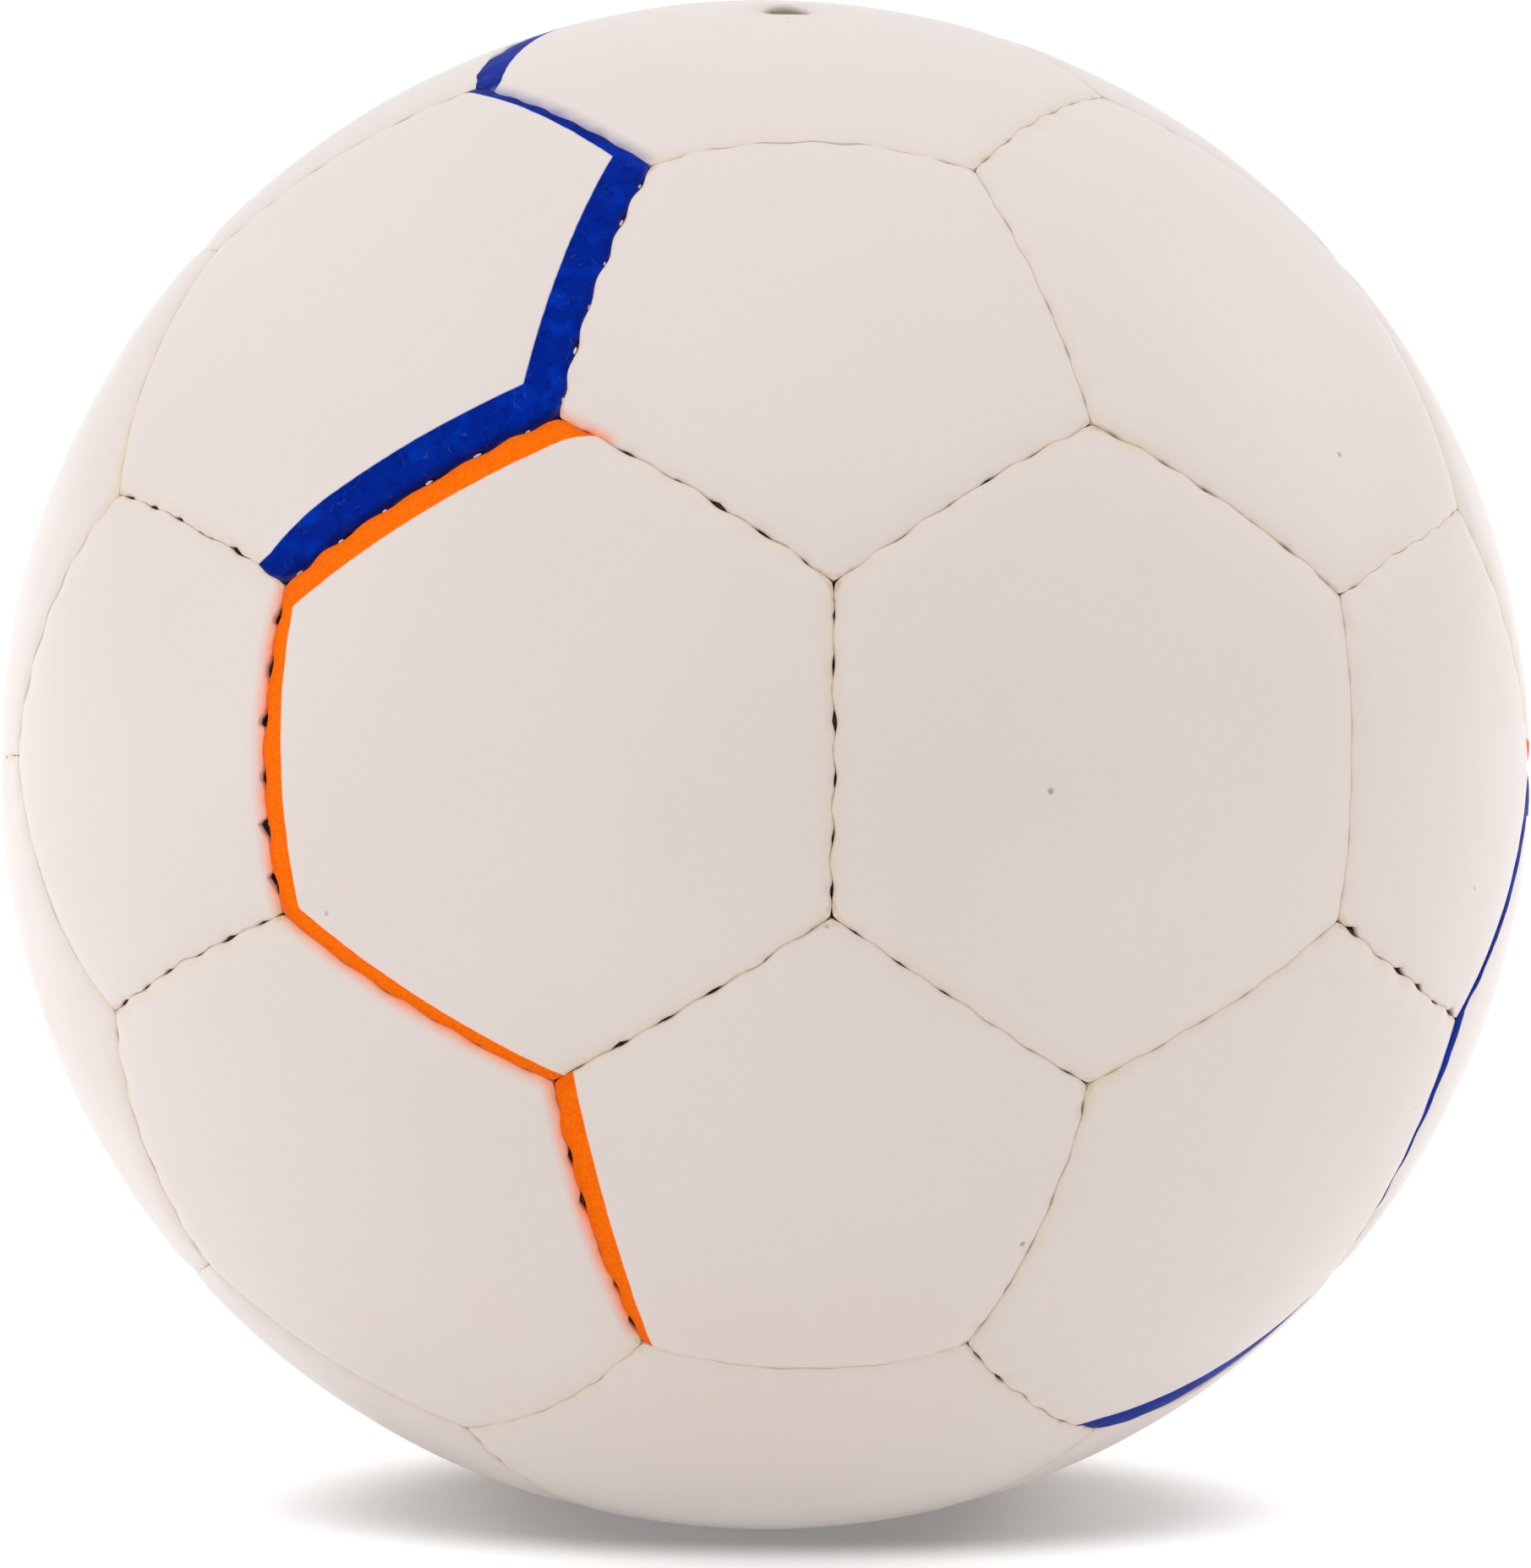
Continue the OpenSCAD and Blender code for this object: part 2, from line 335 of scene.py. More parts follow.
TIGHT = 0.3
PULLED_SEAMS = [
    (LEFT_PENTAGON, LEFT_HEXAGON, 2.9),
    (RIGHT_HEXAGON, LEFT_HEXAGON, 1.0),
    (UPPER_LEFT_HEXAGON, LEFT_PENTAGON, 1.2),
    (UPPER_LEFT_HEXAGON, LEFT_HEXAGON, 1.0),
    (UPPER_LEFT_HEXAGON, TOP_PENTAGON, 1.0),
    (TOP_PENTAGON, LEFT_HEXAGON, 1.1),
    (TOP_PENTAGON, RIGHT_HEXAGON, 0.45),
    (LEFT_HEXAGON, BOTTOM_PENTAGON, 1.0),
    (RIGHT_HEXAGON, BOTTOM_PENTAGON, 0.4),
    (RIGHT_PENTAGON, LOWER_RIGHT_HEXAGON, 1.7),
    (RIGHT_HEXAGON, UPPER_RIGHT_HEXAGON, 0.6),
    (LOWER_RIGHT_HEXAGON, BOTTOM_HEXAGON, 0.9),
    (BOTTOM_PENTAGON, LOWER_RIGHT_HEXAGON, 0.7),
    (BOTTOM_PENTAGON, LOWER_LEFT_HEXAGON, 1.4),
    (LOWER_LEFT_HEXAGON, LEFT_PENTAGON, 0.9),
    (LOWER_LEFT_HEXAGON, LEFT_HEXAGON, 0.5),
]


def bow_of(panel, neighbour):
    """How far the seam bulges away from the panel, in millimetres."""
    for first, second, bow in BOWS:
        if same(first, panel) and same(second, neighbour):
            return bow
        if same(first, neighbour) and same(second, panel):
            return -bow
    return 0.0


def pull_of(panel, neighbour):
    """How far the stitches of the seam have pulled its holes open."""
    for first, second, pull in PULLED_SEAMS:
        if all(same(first, axis) or same(second, axis) for axis in (panel, neighbour)):
            return pull
    return TIGHT


# A half turn about the seam between the two hexagons on the right puts the stripes on the far side

half_turn = Matrix.Rotation(math.pi, 3, (UPPER_RIGHT_HEXAGON + RIGHT_HEXAGON).normalized())

# Geometry: one panel of the cover, with its rolled edge, its rim and, in one, the valve's hole.
# Past the seam its rows go down the wall, under the rim, up inside it and back to the middle.

WALL_ROWS = 4.0
RIM_ROWS = 1.0
RISE_ROWS = 2.0
BACK_ROWS = 6.0

# No seam's plane holds this direction, so it tells the two panels of each seam apart
SIDE_MARK = (0.623, -0.01, -0.782)

# Points closer than this, in metres, are merged
MERGE_WITHIN = 0.000002

PANEL_INPUTS = [
    ("Sides", "NodeSocketInt", 6),
    ("Seam angle", "NodeSocketFloat", math.radians(HEXAGON_ANGLE)),
    ("Seam arc", "NodeSocketFloat", math.radians(SEAM_ARC)),
    ("Columns a side", "NodeSocketInt", 60),
    ("Outer rows", "NodeSocketInt", 26),
    ("Hole rows", "NodeSocketInt", 0),
    ("Ball radius", "NodeSocketFloat", BALL_R),
    ("Inside radius", "NodeSocketFloat", COVER_IN_R),
    ("Rim radius", "NodeSocketFloat", RIM_IN_R),
    ("Rim thickness", "NodeSocketFloat", RIM_T),
    ("Seam gap", "NodeSocketFloat", 0.01),
    ("Corner round", "NodeSocketFloat", 0.2),
    ("Opening", "NodeSocketFloat", 0.55),
    ("Roll width", "NodeSocketFloat", 4.2),
    ("Roll depth", "NodeSocketFloat", 0.31),
    ("Lip width", "NodeSocketFloat", 0.5),
    ("Lip depth", "NodeSocketFloat", 0.08),
    ("Stitches", "NodeSocketInt", STITCHES_A_SEAM),
    ("Scallop", "NodeSocketFloat", 0.32),
    ("Wander", "NodeSocketFloat", 0.9),
    ("Pucker", "NodeSocketFloat", 0.22),
    ("Lumps", "NodeSocketFloat", 0.3),
    ("Ripples", "NodeSocketFloat", 0.22),
    ("Hole radius", "NodeSocketFloat", 0.0),
    ("Hole lip width", "NodeSocketFloat", 1.8),
    ("Hole lip depth", "NodeSocketFloat", 1.1),
    ("Hole centre", "NodeSocketVector", (0.0, 0.0, 1.0)),
    ("Turn axis", "NodeSocketVector", (0.0, 0.0, 1.0)),
    ("Turn", "NodeSocketFloat", 0.0),
    ("Side mark", "NodeSocketVector", SIDE_MARK),
    *((f"Bow {k}", "NodeSocketFloat", 0.0) for k in range(6)),
    *((f"Pull {k}", "NodeSocketFloat", 1.0) for k in range(6)),
    ("Material", "NodeSocketMaterial", None),
]


def pulled(trees, point):
    """How far a stitch at this point of the ball stands open, from 0 to 1."""
    return 0.08 + trees.noise(point, 0.35, 0.0).smooth(0.33, 0.66) * 0.92


def new_tree(name, sockets):
    """A geometry tree with named inputs, and the wires that come from them by name."""
    group = bpy.data.node_groups.new(name, "GeometryNodeTree")
    group.interface.new_socket(name="Geometry", in_out="OUTPUT", socket_type="NodeSocketGeometry")
    group.interface.new_socket(name="Geometry", in_out="INPUT", socket_type="NodeSocketGeometry")
    for label, kind, value in sockets:
        socket = group.interface.new_socket(name=label, in_out="INPUT", socket_type=kind)
        if value is not None:
            socket.default_value = value
    trees = Trees(group)
    given = trees.node("NodeGroupInput")
    labels = ("Geometry", *(label for label, _, _ in sockets))
    return group, trees, {label: given.wire(label) for label in labels}


def end_tree(trees, made, material):
    """The last nodes of a geometry tree: real geometry with its material on it."""
    real = trees.node("GeometryNodeRealizeInstances", inputs={"Geometry": made.wire(0)})
    painted = trees.node("GeometryNodeSetMaterial", inputs={
        "Geometry": real.wire(0), "Material": material})
    trees.node("NodeGroupOutput", inputs={"Geometry": painted.wire(0)})


def panel_tree():
    """A grid whose columns stand along the seams, and whose rows run out to them and on inside."""
    group, trees, g = new_tree("rolled and sewn panel", PANEL_INPUTS)
    sides, rows = g["Sides"], g["Outer rows"]
    columns = g["Columns a side"] * sides
    all_rows = rows + g["Hole rows"] + (WALL_ROWS + RIM_ROWS + RISE_ROWS + BACK_ROWS)
    grid = trees.node("GeometryNodeMeshGrid", inputs={
        "Size X": columns, "Size Y": all_rows,
        "Vertices X": columns + 1.0, "Vertices Y": all_rows + 1.0})
    across, up, _ = trees.parts(trees.node("GeometryNodeInputPosition").wire())
    column = across + columns * 0.5
    row = up + all_rows * 0.5 - g["Hole rows"]

    # The side that the column belongs to, and its place along that side, from -0.5 to 0.5. The
    # small number makes sure that a column at a corner starts the next side.
    side = (column / g["Columns a side"] + 0.0001).maths("FLOOR")
    share = column / g["Columns a side"] - side - 0.5
    angle = g["Seam angle"]
    cos_angle, sin_angle = angle.maths("COSINE"), angle.maths("SINE")
    sector = math.tau / sides

    # The point of the seam that this column runs to
    s = share * g["Seam arc"]
    turn = side * sector
    cos_turn, sin_turn = turn.maths("COSINE"), turn.maths("SINE")
    x0 = sin_angle * s.maths("COSINE")
    y0 = s.maths("SINE")
    seam_point = trees.vector(x0 * cos_turn - y0 * sin_turn, x0 * sin_turn + y0 * cos_turn,
                              cos_angle * s.maths("COSINE"))

    def turned(vector):
        return trees.node("ShaderNodeVectorRotate", dict(rotation_type="AXIS_ANGLE"),
                          {"Vector": vector, "Axis": g["Turn axis"], "Angle": g["Turn"]}).wire()

    def on_ball(direction):
        return trees.join("SCALE", turned(direction), scale=g["Ball radius"])

    # Which of its two panels this one is for the seam, as 1 or -1
    side_normal = trees.vector(cos_angle * cos_turn, cos_angle * sin_turn, -sin_angle)
    sign = trees.join("DOT_PRODUCT", turned(side_normal), g["Side mark"]).maths("SIGN")

    # The seam line wanders and is scalloped by its stitches, and its corners are rounded
    seam_place = on_ball(seam_point)
    wave = ((share + 0.5) * g["Stitches"] * math.tau).maths("COSINE")
    inner = 1.0 - share.maths("ABSOLUTE").smooth(0.38, 0.5)
    wander = (trees.noise(seam_place, 0.11, 1.0) - 0.5) * g["Wander"]
    strength = trees.noise(seam_place, 0.07, 0.0)
    line = (wander + wave * g["Scallop"] * strength) * inner * sign
    bow, pull = trees.number(0.0), trees.number(0.0)
    for k in range(6):
        this_side = (1.0 - (side - float(k)).maths("ABSOLUTE")).clamped()
        bow = bow + this_side * g[f"Bow {k}"]
        pull = pull + this_side * g[f"Pull {k}"]
    arch = bow * (1.0 - share * share * 4.0)
    stitch_shape = ((1.0 - wave) * 0.5) ** 4.0
    opening = stitch_shape * g["Opening"] * pulled(trees, seam_place) * pull * (0.55 + sign * 0.45)
    corner = share.maths("ABSOLUTE").ramp(0.45, 0.5) ** 2.0 * g["Corner round"]
    inset = g["Seam gap"] * 0.5 + opening + corner + line - arch
    panel_reach = angle * g["Ball radius"]
    axis = trees.vector(0.0, 0.0, 1.0)
    edge = trees.join("NORMALIZE", trees.mix_vector(inset / panel_reach, seam_point, axis))

    # Rows run from the middle, or the hole, to the seam, down the wall and back along the inside.
    # They lie closer together towards the seam.
    u = (row / rows).clamped()
    outward = 1.0 - (1.0 - u) ** 1.8
    wall_end = rows + WALL_ROWS
    rim_end = wall_end + RIM_ROWS
    rise_end = rim_end + RISE_ROWS
    wall = row.ramp(rows, wall_end)
    rim = row.ramp(wall_end, rim_end)
    rise = row.ramp(rim_end, rise_end)
    back = row.ramp(rise_end, rise_end + BACK_ROWS)
    rim_share = g["Rim thickness"] / panel_reach
    outward = outward - rim * rim_share - back * (1.0 - rim_share)

    hole = g["Hole centre"]
    away = trees.join("NORMALIZE", trees.join("SUBTRACT", seam_point, hole))
    along_hole = trees.join("SCALE", hole, scale=trees.join("DOT_PRODUCT", away, hole))
    flat = trees.join("NORMALIZE", trees.join("SUBTRACT", away, along_hole))
    hole_reach = trees.join("SCALE", flat, scale=g["Hole radius"] / g["Ball radius"])
    ring = trees.join("NORMALIZE", trees.join("ADD", hole, hole_reach))
    unit = trees.join("NORMALIZE", trees.mix_vector(outward, ring, edge))

    # How far the point is from the nearest seams
    px, py, pz = trees.parts(unit)
    bearing = py.maths("ARCTAN2", px)
    nearest = (bearing / sector).maths("ROUND")
    off = (bearing - nearest * sector).maths("ABSOLUTE")
    flat_length = (px * px + py * py).maths("SQRT")

    def seam_distance(turn_off):
        height = flat_length * turn_off.maths("COSINE") * cos_angle - pz * sin_angle
        return -height.maths("ARCSINE") * g["Ball radius"]

    near = seam_distance(off)
    beside = seam_distance(sector - off)
    # A soft smallest of the two distances rounds the corners of the roll
    rounding = 0.9
    both = (-near / rounding).maths("EXPONENT") + (-beside / rounding).maths("EXPONENT")
    together = both.maths("LOGARITHM", math.e) * -rounding
    distance = together.smallest(near)
    line_here = line * (1.0 - distance.ramp(0.0, 6.0)) - arch * (1.0 - distance.ramp(0.0, 12.0))
    from_edge = (distance - line_here).largest(0.0)

    # The height of the cover over the ball's middle
    cover_place = on_ball(unit)
    roll = (1.0 - from_edge / g["Roll width"]).clamped() ** 2.0 * g["Roll depth"]
    lip = (1.0 - from_edge / g["Lip width"]).clamped() ** 2.0 * g["Lip depth"]
    lumps = (trees.noise(cover_place, 0.045, 2.0) - 0.5) * g["Lumps"] * distance.ramp(0.0, 7.0)
    ripples = (trees.noise(cover_place, 0.28, 1.0) - 0.5) * g["Ripples"] * (
        distance.ramp(0.0, 0.8) * (1.0 - distance.ramp(1.0, 7.0)))
    gathered = (0.5 - wave * 0.5) * g["Pucker"]
    pucker = gathered * (1.0 - from_edge.ramp(0.0, 3.2)) * inner * strength
    here = trees.join("DISTANCE", unit, hole) * g["Ball radius"] - g["Hole radius"]
    hole_lip = (1.0 - here.largest(0.0) / g["Hole lip width"]).clamped() ** 2.0
    hole_lip = hole_lip * g["Hole lip depth"] * (g["Hole radius"] > 0.0)
    outer = g["Ball radius"] - roll - lip + lumps + ripples - pucker - hole_lip
    radius = outer + (g["Rim radius"] - outer) * wall
    radius = radius + (g["Inside radius"] - radius) * rise
    down_hole = (-row / g["Hole rows"].largest(1.0)).clamped()
    radius = radius + (g["Inside radius"] - radius) * down_hole

    # What the leather reads. The share of glue is 0.3 on a pentagon and 0.9 on a hexagon.
    kept = grid
    for label, value in (("seam_distance", from_edge), ("seam_depth", g["Ball radius"] - radius),
                         ("seam_glue", sides * 0.6 - 2.7), ("stitch_opening", opening),
                         ("seam_pull", pull)):
        kept = trees.node(
            "GeometryNodeStoreNamedAttribute", dict(data_type="FLOAT", domain="POINT"),
            {"Geometry": kept.wire(0), "Name": label, "Value": value})
    placed = trees.node("GeometryNodeSetPosition", inputs={
        "Geometry": kept.wire(0),
        "Position": trees.join("SCALE", turned(unit), scale=radius * MM)})
    closed = trees.node("GeometryNodeMergeByDistance", inputs={
        "Geometry": placed.wire(0), "Distance": MERGE_WITHIN})
    smooth = trees.node("GeometryNodeSetShadeSmooth", inputs={"Geometry": closed.wire(0)})
    end_tree(trees, smooth, g["Material"])
    return group


def grown(name, group, values, start=None):
    """The mesh that a geometry tree makes, as a plain object at the origin."""
    mesh = start or bpy.data.meshes.new(name)
    carrier = bpy.data.objects.new(name + "_grow", mesh)
    link(carrier)
    modifier = carrier.modifiers.new("grow", "NODES")
    modifier.node_group = group
    for item in group.interface.items_tree:
        if item.item_type == "SOCKET" and item.in_out == "INPUT" and item.name in values:
            modifier[item.identifier] = values[item.name]
    bpy.context.view_layer.update()
    made = bpy.data.meshes.new_from_object(
        carrier.evaluated_get(bpy.context.evaluated_depsgraph_get()))
    bpy.data.objects.remove(carrier)
    made.name = name
    body = bmesh.new()
    body.from_mesh(made)
    if body.calc_volume(signed=True) < 0:
        bmesh.ops.reverse_faces(body, faces=body.faces[:])
    body.to_mesh(made)
    body.free()
    piece = bpy.data.objects.new(name, made)
    link(piece)
    return piece


# Colours

WHITE = colour(227, 216, 212)
DULL_WHITE = colour(221, 209, 202)
CREAM = colour(226, 214, 190)
IVORY = colour(222, 206, 182)
GREY = colour(196, 184, 178)
OLIVE = colour(196, 162, 126)
BROWN = colour(150, 116, 88)
GREY_BROWN = colour(134, 118, 100)
SPECK = colour(120, 104, 96)
# Dark brown at the mouths of open stitch holes
HOLE_MOUTH_BROWN = colour(96, 76, 60)
# Painted shade, in open stitch holes and deep in the seams
PAINTED_SHADE = colour(26, 17, 12)
BLUE = colour(0, 37, 146)
BRIGHT_BLUE = colour(0, 52, 176)
PALE_BLUE = colour(70, 96, 190)
DEEP_BLUE = colour(4, 16, 84)
# Painted shade on the blue beside its seams
SHADED_BLUE = colour(14, 10, 62)
VIOLET = colour(120, 96, 160)
ORANGE = colour(255, 112, 8)
LIGHT_ORANGE = colour(255, 132, 36)
DEEP_ORANGE = colour(214, 74, 4)
PINK = colour(250, 190, 176)
GLOW = colour(255, 130, 84)
# Painted shadow cast over one seam onto the valve panel
SHADOW_GREY_BLUE = colour(132, 128, 176)

# Each ink's colours, and how strongly its wear, the rings in it and its fringe show
# Each ink's colour at the seam is painted shade, which it darkens towards beside the seam
INKS = {
    "blue": dict(fresh=BLUE, worn=DEEP_BLUE, wear=0.6, ring=PALE_BLUE, rings=0.3,
                 at_seam=SHADED_BLUE, fringe=VIOLET, fringed=0.45),
    "orange": dict(fresh=ORANGE, worn=DEEP_ORANGE, wear=0.12, ring=DEEP_ORANGE, rings=0.08,
                   at_seam=DEEP_ORANGE, fringe=PINK, fringed=0.6),
}


def stripe(panel, beside, towards, ink, start, end, swell=0.0, soft=0.0, rounded=0.0, far=None):
    """A stripe of the panel along its seam with the one beside it, and its copy on the far side.

    Its width goes from start to end in millimetres on the way towards a third panel, with swell
    more in the middle. Soft joins it to the ones before it in a curve, and rounded takes its corner
    off at the seam's start, and paints shade that darkens the stripe within 1.6 mm of its seam.
    Far has the copy's start, end and swell where the photograph shows that seam too.
    """
    turned = tuple(half_turn @ v for v in (panel, beside, towards))
    widths = (start, end, swell)
    return [(panel, beside, towards, ink, *widths, soft, rounded),
            (*turned, ink, *(far or widths), soft, rounded)]


STRIPES = [
    *stripe(UPPER_LEFT_HEXAGON, LEFT_HEXAGON, TOP_PENTAGON, "blue", 5.9, 5.9, rounded=1.2),
    *stripe(UPPER_LEFT_HEXAGON, TOP_PENTAGON, VALVE_HEXAGON, "blue", 5.0, 5.0,
            far=(2.7, 1.0, -0.4)),
    *stripe(UPPER_LEFT_HEXAGON, VALVE_HEXAGON, BACK_LEFT_PENTAGON, "blue", 2.2, 1.3, swell=-0.4,
            far=(2.4, 0.3, -0.7)),
    *stripe(VALVE_HEXAGON, BACK_LEFT_PENTAGON, UPPER_LEFT_HEXAGON, "blue", 0.0, 3.7, swell=3.1,
            far=(4.8, 0.2, 4.3)),
    *stripe(LEFT_HEXAGON, UPPER_LEFT_HEXAGON, TOP_PENTAGON, "orange", 3.2, 3.2),
    *stripe(LEFT_HEXAGON, TOP_PENTAGON, UPPER_LEFT_HEXAGON, "orange", -16.0, 2.6, soft=1.6),
    *stripe(LEFT_HEXAGON, LEFT_PENTAGON, UPPER_LEFT_HEXAGON, "orange", 2.9, 2.0, swell=0.2),
    *stripe(LEFT_HEXAGON, LOWER_LEFT_HEXAGON, LEFT_PENTAGON, "orange", 1.3, 2.3),
    *stripe(BOTTOM_PENTAGON, LOWER_LEFT_HEXAGON, LEFT_HEXAGON, "orange", 1.0, 2.6, swell=0.8),
]


def dye_and_shadow(panel, beside, towards, *rest):
    """A mark from the panel beside, over the seam onto this panel, and its far copy.

    The rest is its colour, strength and width, and where along the seam it starts and ends, from
    -1 to 1. A glow is dye that has bled over the seam; grey is painted shadow from the panel
    beside.
    """
    return [(panel, beside, towards, *rest),
            (*(half_turn @ v for v in (panel, beside, towards)), *rest)]


DYE_AND_SHADOWS = [
    *dye_and_shadow(LEFT_PENTAGON, LEFT_HEXAGON, UPPER_LEFT_HEXAGON, "glow", 0.95, 2.1, -1.0, 1.0),
    *dye_and_shadow(TOP_PENTAGON, LEFT_HEXAGON, UPPER_LEFT_HEXAGON, "glow", 0.85, 1.7, 0.62, 1.0),
    *dye_and_shadow(LOWER_LEFT_HEXAGON, LEFT_HEXAGON, LEFT_PENTAGON, "glow", 0.8, 1.7, -1.0, 1.0),
    *dye_and_shadow(LOWER_LEFT_HEXAGON, BOTTOM_PENTAGON, LEFT_HEXAGON, "glow", 0.95, 1.9, -0.9, 1.0),
    # Painted shadow that the upper left hexagon casts onto the valve panel, and its far copy
    *dye_and_shadow(VALVE_HEXAGON, UPPER_LEFT_HEXAGON, TOP_PENTAGON, "grey", 0.8, 2.0, -0.8, 0.9),
]


def leather(name, stripes, dyes_and_shadows, hole=False):
    """White synthetic leather with its grain, seam glue, dirt and painted shade, and its stripes.
    """
    material, trees = new_material(name)
    place_mm = in_mm(trees)
    seam_mm, depth_mm, glue_here, open_mm, pull = (
        trees.node("ShaderNodeAttribute", dict(attribute_name=label)).wire("Fac")
        for label in ("seam_distance", "seam_depth", "seam_glue", "stitch_opening", "seam_pull"))

    broad = trees.noise(place_mm, 0.02, 2.0)
    patchy = trees.noise(place_mm, 0.09, 3.0)
    fine = trees.noise(place_mm, 3.2, 2.0)
    seam_noise = trees.noise(place_mm, 0.13, 2.0)

    shade = trees.mix_colour(broad.ramp(0.3, 0.7) * 0.5, WHITE, DULL_WHITE)
    shade = trees.mix_colour(patchy.ramp(0.62, 0.8) * 0.25, shade, CREAM)
    shade = trees.mix_colour((fine - 0.5).maths("ABSOLUTE") * 0.12, shade, GREY)

    # Yellowed glue and rubbed dirt along the seams, more on some stretches and on the hexagons
    glue = (1.0 - seam_mm / 2.2).clamped() ** 1.5 * (0.3 + seam_noise.ramp(0.35, 0.7) * 0.7)
    shade = trees.mix_colour(glue * glue_here, shade, IVORY)

    # Small specks
    cells = trees.node("ShaderNodeTexVoronoi", dict(feature="F1"),
                       {"Vector": place_mm, "Scale": 0.16, "Randomness": 1.0})
    pick = trees.parts(cells.wire("Color"))
    speck_size = 0.03 + pick[1] * 0.06
    speck = (1.0 - cells.wire("Distance") / speck_size).clamped() * (pick[0] > 0.86)
    shade = trees.mix_colour(speck.ramp(0.0, 0.4) * 0.6, shade, SPECK)

    gloss = 0.36 + (patchy - 0.5) * 0.12
    wobble = (trees.noise(place_mm, 0.9, 1.0) - 0.5) * 0.12
    mottle = trees.noise(place_mm, 0.8, 4.0, 0.65)
    clouds = trees.noise(place_mm, 0.3, 3.0, 0.55)
    grains = trees.noise(place_mm, 2.4, 2.0, 0.6)
    warp = trees.join("SCALE", trees.noise(place_mm, 0.4, 1.0, output="Color"), scale=3.0)
    rings = trees.node("ShaderNodeTexVoronoi", dict(feature="DISTANCE_TO_EDGE"),
                       {"Vector": trees.join("ADD", place_mm, warp), "Scale": 0.28})
    ring_line = (1.0 - rings.wire("Distance") / 0.035).clamped() * mottle.ramp(0.52, 0.62)

    inked = None
    for ink, look in INKS.items():
        # Room is how far inside the nearest stripe the point is, in millimetres
        room, stripe_shade = None, None
        for normal, along, bow, kind, start, end, swell, soft, rounded in stripes:
            if kind != ink:
                continue
            inwards = -trees.join("DOT_PRODUCT", place_mm, tuple(normal))
            run = trees.join("DOT_PRODUCT", place_mm, tuple(along)) / SEAM_MM + 0.5
            run = run.clamped()
            arch = run * (1.0 - run) * 4.0
            width = start + run * (end - start) + arch * (swell - bow)
            if rounded:
                width = width - (1.0 - run / 0.26).clamped() ** 2.0 * rounded
                # Painted shade: a rounded stripe darkens towards its seam, to 1.6 mm in
                stripe_shade = (1.0 - (inwards + arch * bow) / 1.6).clamped() * 0.9
            this = width + wobble - inwards
            if room is None:
                room = this
            elif soft:
                room = room.maths("SMOOTH_MAX", this, soft)
            else:
                room = room.largest(this)
        if room is None:
            continue
        covered = room.ramp(-0.04, 0.05)
        edged = room.ramp(-0.2, 0.0)
        inked = covered if inked is None else inked.largest(covered)
        tone = trees.mix_colour(mottle.ramp(0.42, 0.75) * look["wear"], look["fresh"], look["worn"])
        if ink == "blue":
            tone = trees.mix_colour(clouds.ramp(0.5, 0.68) * 0.8, tone, BRIGHT_BLUE)
        else:
            tone = trees.mix_colour(grains.ramp(0.5, 0.62) * 0.35, tone, LIGHT_ORANGE)
            tone = trees.mix_colour((1.0 - grains.ramp(0.36, 0.46)) * 0.22, tone, DEEP_ORANGE)
        tone = trees.mix_colour(ring_line * look["rings"], tone, look["ring"])
        # Painted shade: each ink darkens within 1.2 mm of the seam
        tone = trees.mix_colour((1.0 - seam_mm / 1.2).clamped() * 0.3, tone, look["at_seam"])
        # The rounded stripe's painted shade
        if stripe_shade is not None:
            tone = trees.mix_colour(stripe_shade, tone, SHADED_BLUE)
        shade = trees.mix_colour(edged * look["fringed"], shade, look["fringe"])
        shade = trees.mix_colour(covered, shade, tone)

    for normal, along, bow, kind, amount, reach, start, end in dyes_and_shadows:
        inwards = -trees.join("DOT_PRODUCT", place_mm, tuple(normal))
        run = trees.join("DOT_PRODUCT", place_mm, tuple(along)) / (SEAM_MM / 2)
        inwards = inwards + (1.0 - run * run) * bow
        soft = (1.0 - inwards / reach).clamped() ** 1.5
        there = run.smooth(start - 0.08, start + 0.04) * (1.0 - run.smooth(end + 0.02, end + 0.12))
        patch = 0.55 + trees.noise(place_mm, 0.35, 1.0) * 0.9
        # Grey marks are painted shadow, glows are bled dye
        shade = trees.mix_colour((soft * there * patch * amount).clamped(), shade,
                                 GLOW if kind == "glow" else SHADOW_GREY_BLUE)

    # The seam itself: a thin olive line, fainter where the stitches are tight, brown at their holes
    # and dark brown at their mouths, olive walls, and painted shade in open holes and lower down
    bare = 1.0 if inked is None else 1.0 - inked * 0.9
    worn_line = 0.25 + 0.75 * trees.noise(place_mm, 0.6, 2.0).ramp(0.4, 0.62)
    worn_line = worn_line * (0.3 + pull.ramp(TIGHT, 2.0 * TIGHT) * 0.7)
    seam_line = (1.0 - seam_mm / 0.3).clamped() * worn_line * 0.65
    shade = trees.mix_colour(seam_line * bare, shade, OLIVE)
    beside_hole = (open_mm / 0.3).clamped() * (1.0 - seam_mm / 0.5).clamped()
    shade = trees.mix_colour(beside_hole * 0.75 * bare, shade, HOLE_MOUTH_BROWN)
    around_hole = (open_mm / 0.9).clamped() * (1.0 - seam_mm / 1.4).clamped()
    shade = trees.mix_colour(around_hole * 0.55 * bare, shade, BROWN)
    shade = trees.mix_colour(depth_mm.ramp(1.0, 1.5) * 0.5 * bare, shade, OLIVE)
    # Painted shade on the walls of open stitch holes, and from 1.6 mm down the seam
    hole_shade = (open_mm / 0.22).clamped() * depth_mm.ramp(0.7, 1.1)
    shade = trees.mix_colour(hole_shade * 0.95, shade, PAINTED_SHADE)
    shade = trees.mix_colour(depth_mm.ramp(1.6, 3.4), shade, PAINTED_SHADE)
    if hole:
        from_hole = trees.join("LENGTH", trees.join("MULTIPLY", place_mm, (1.0, 0.85, 0.0)))
        stained = (1.0 - (from_hole - COVER_HOLE_R) / 0.9).clamped()
        shade = trees.mix_colour(stained * 0.9, shade, GREY_BROWN)

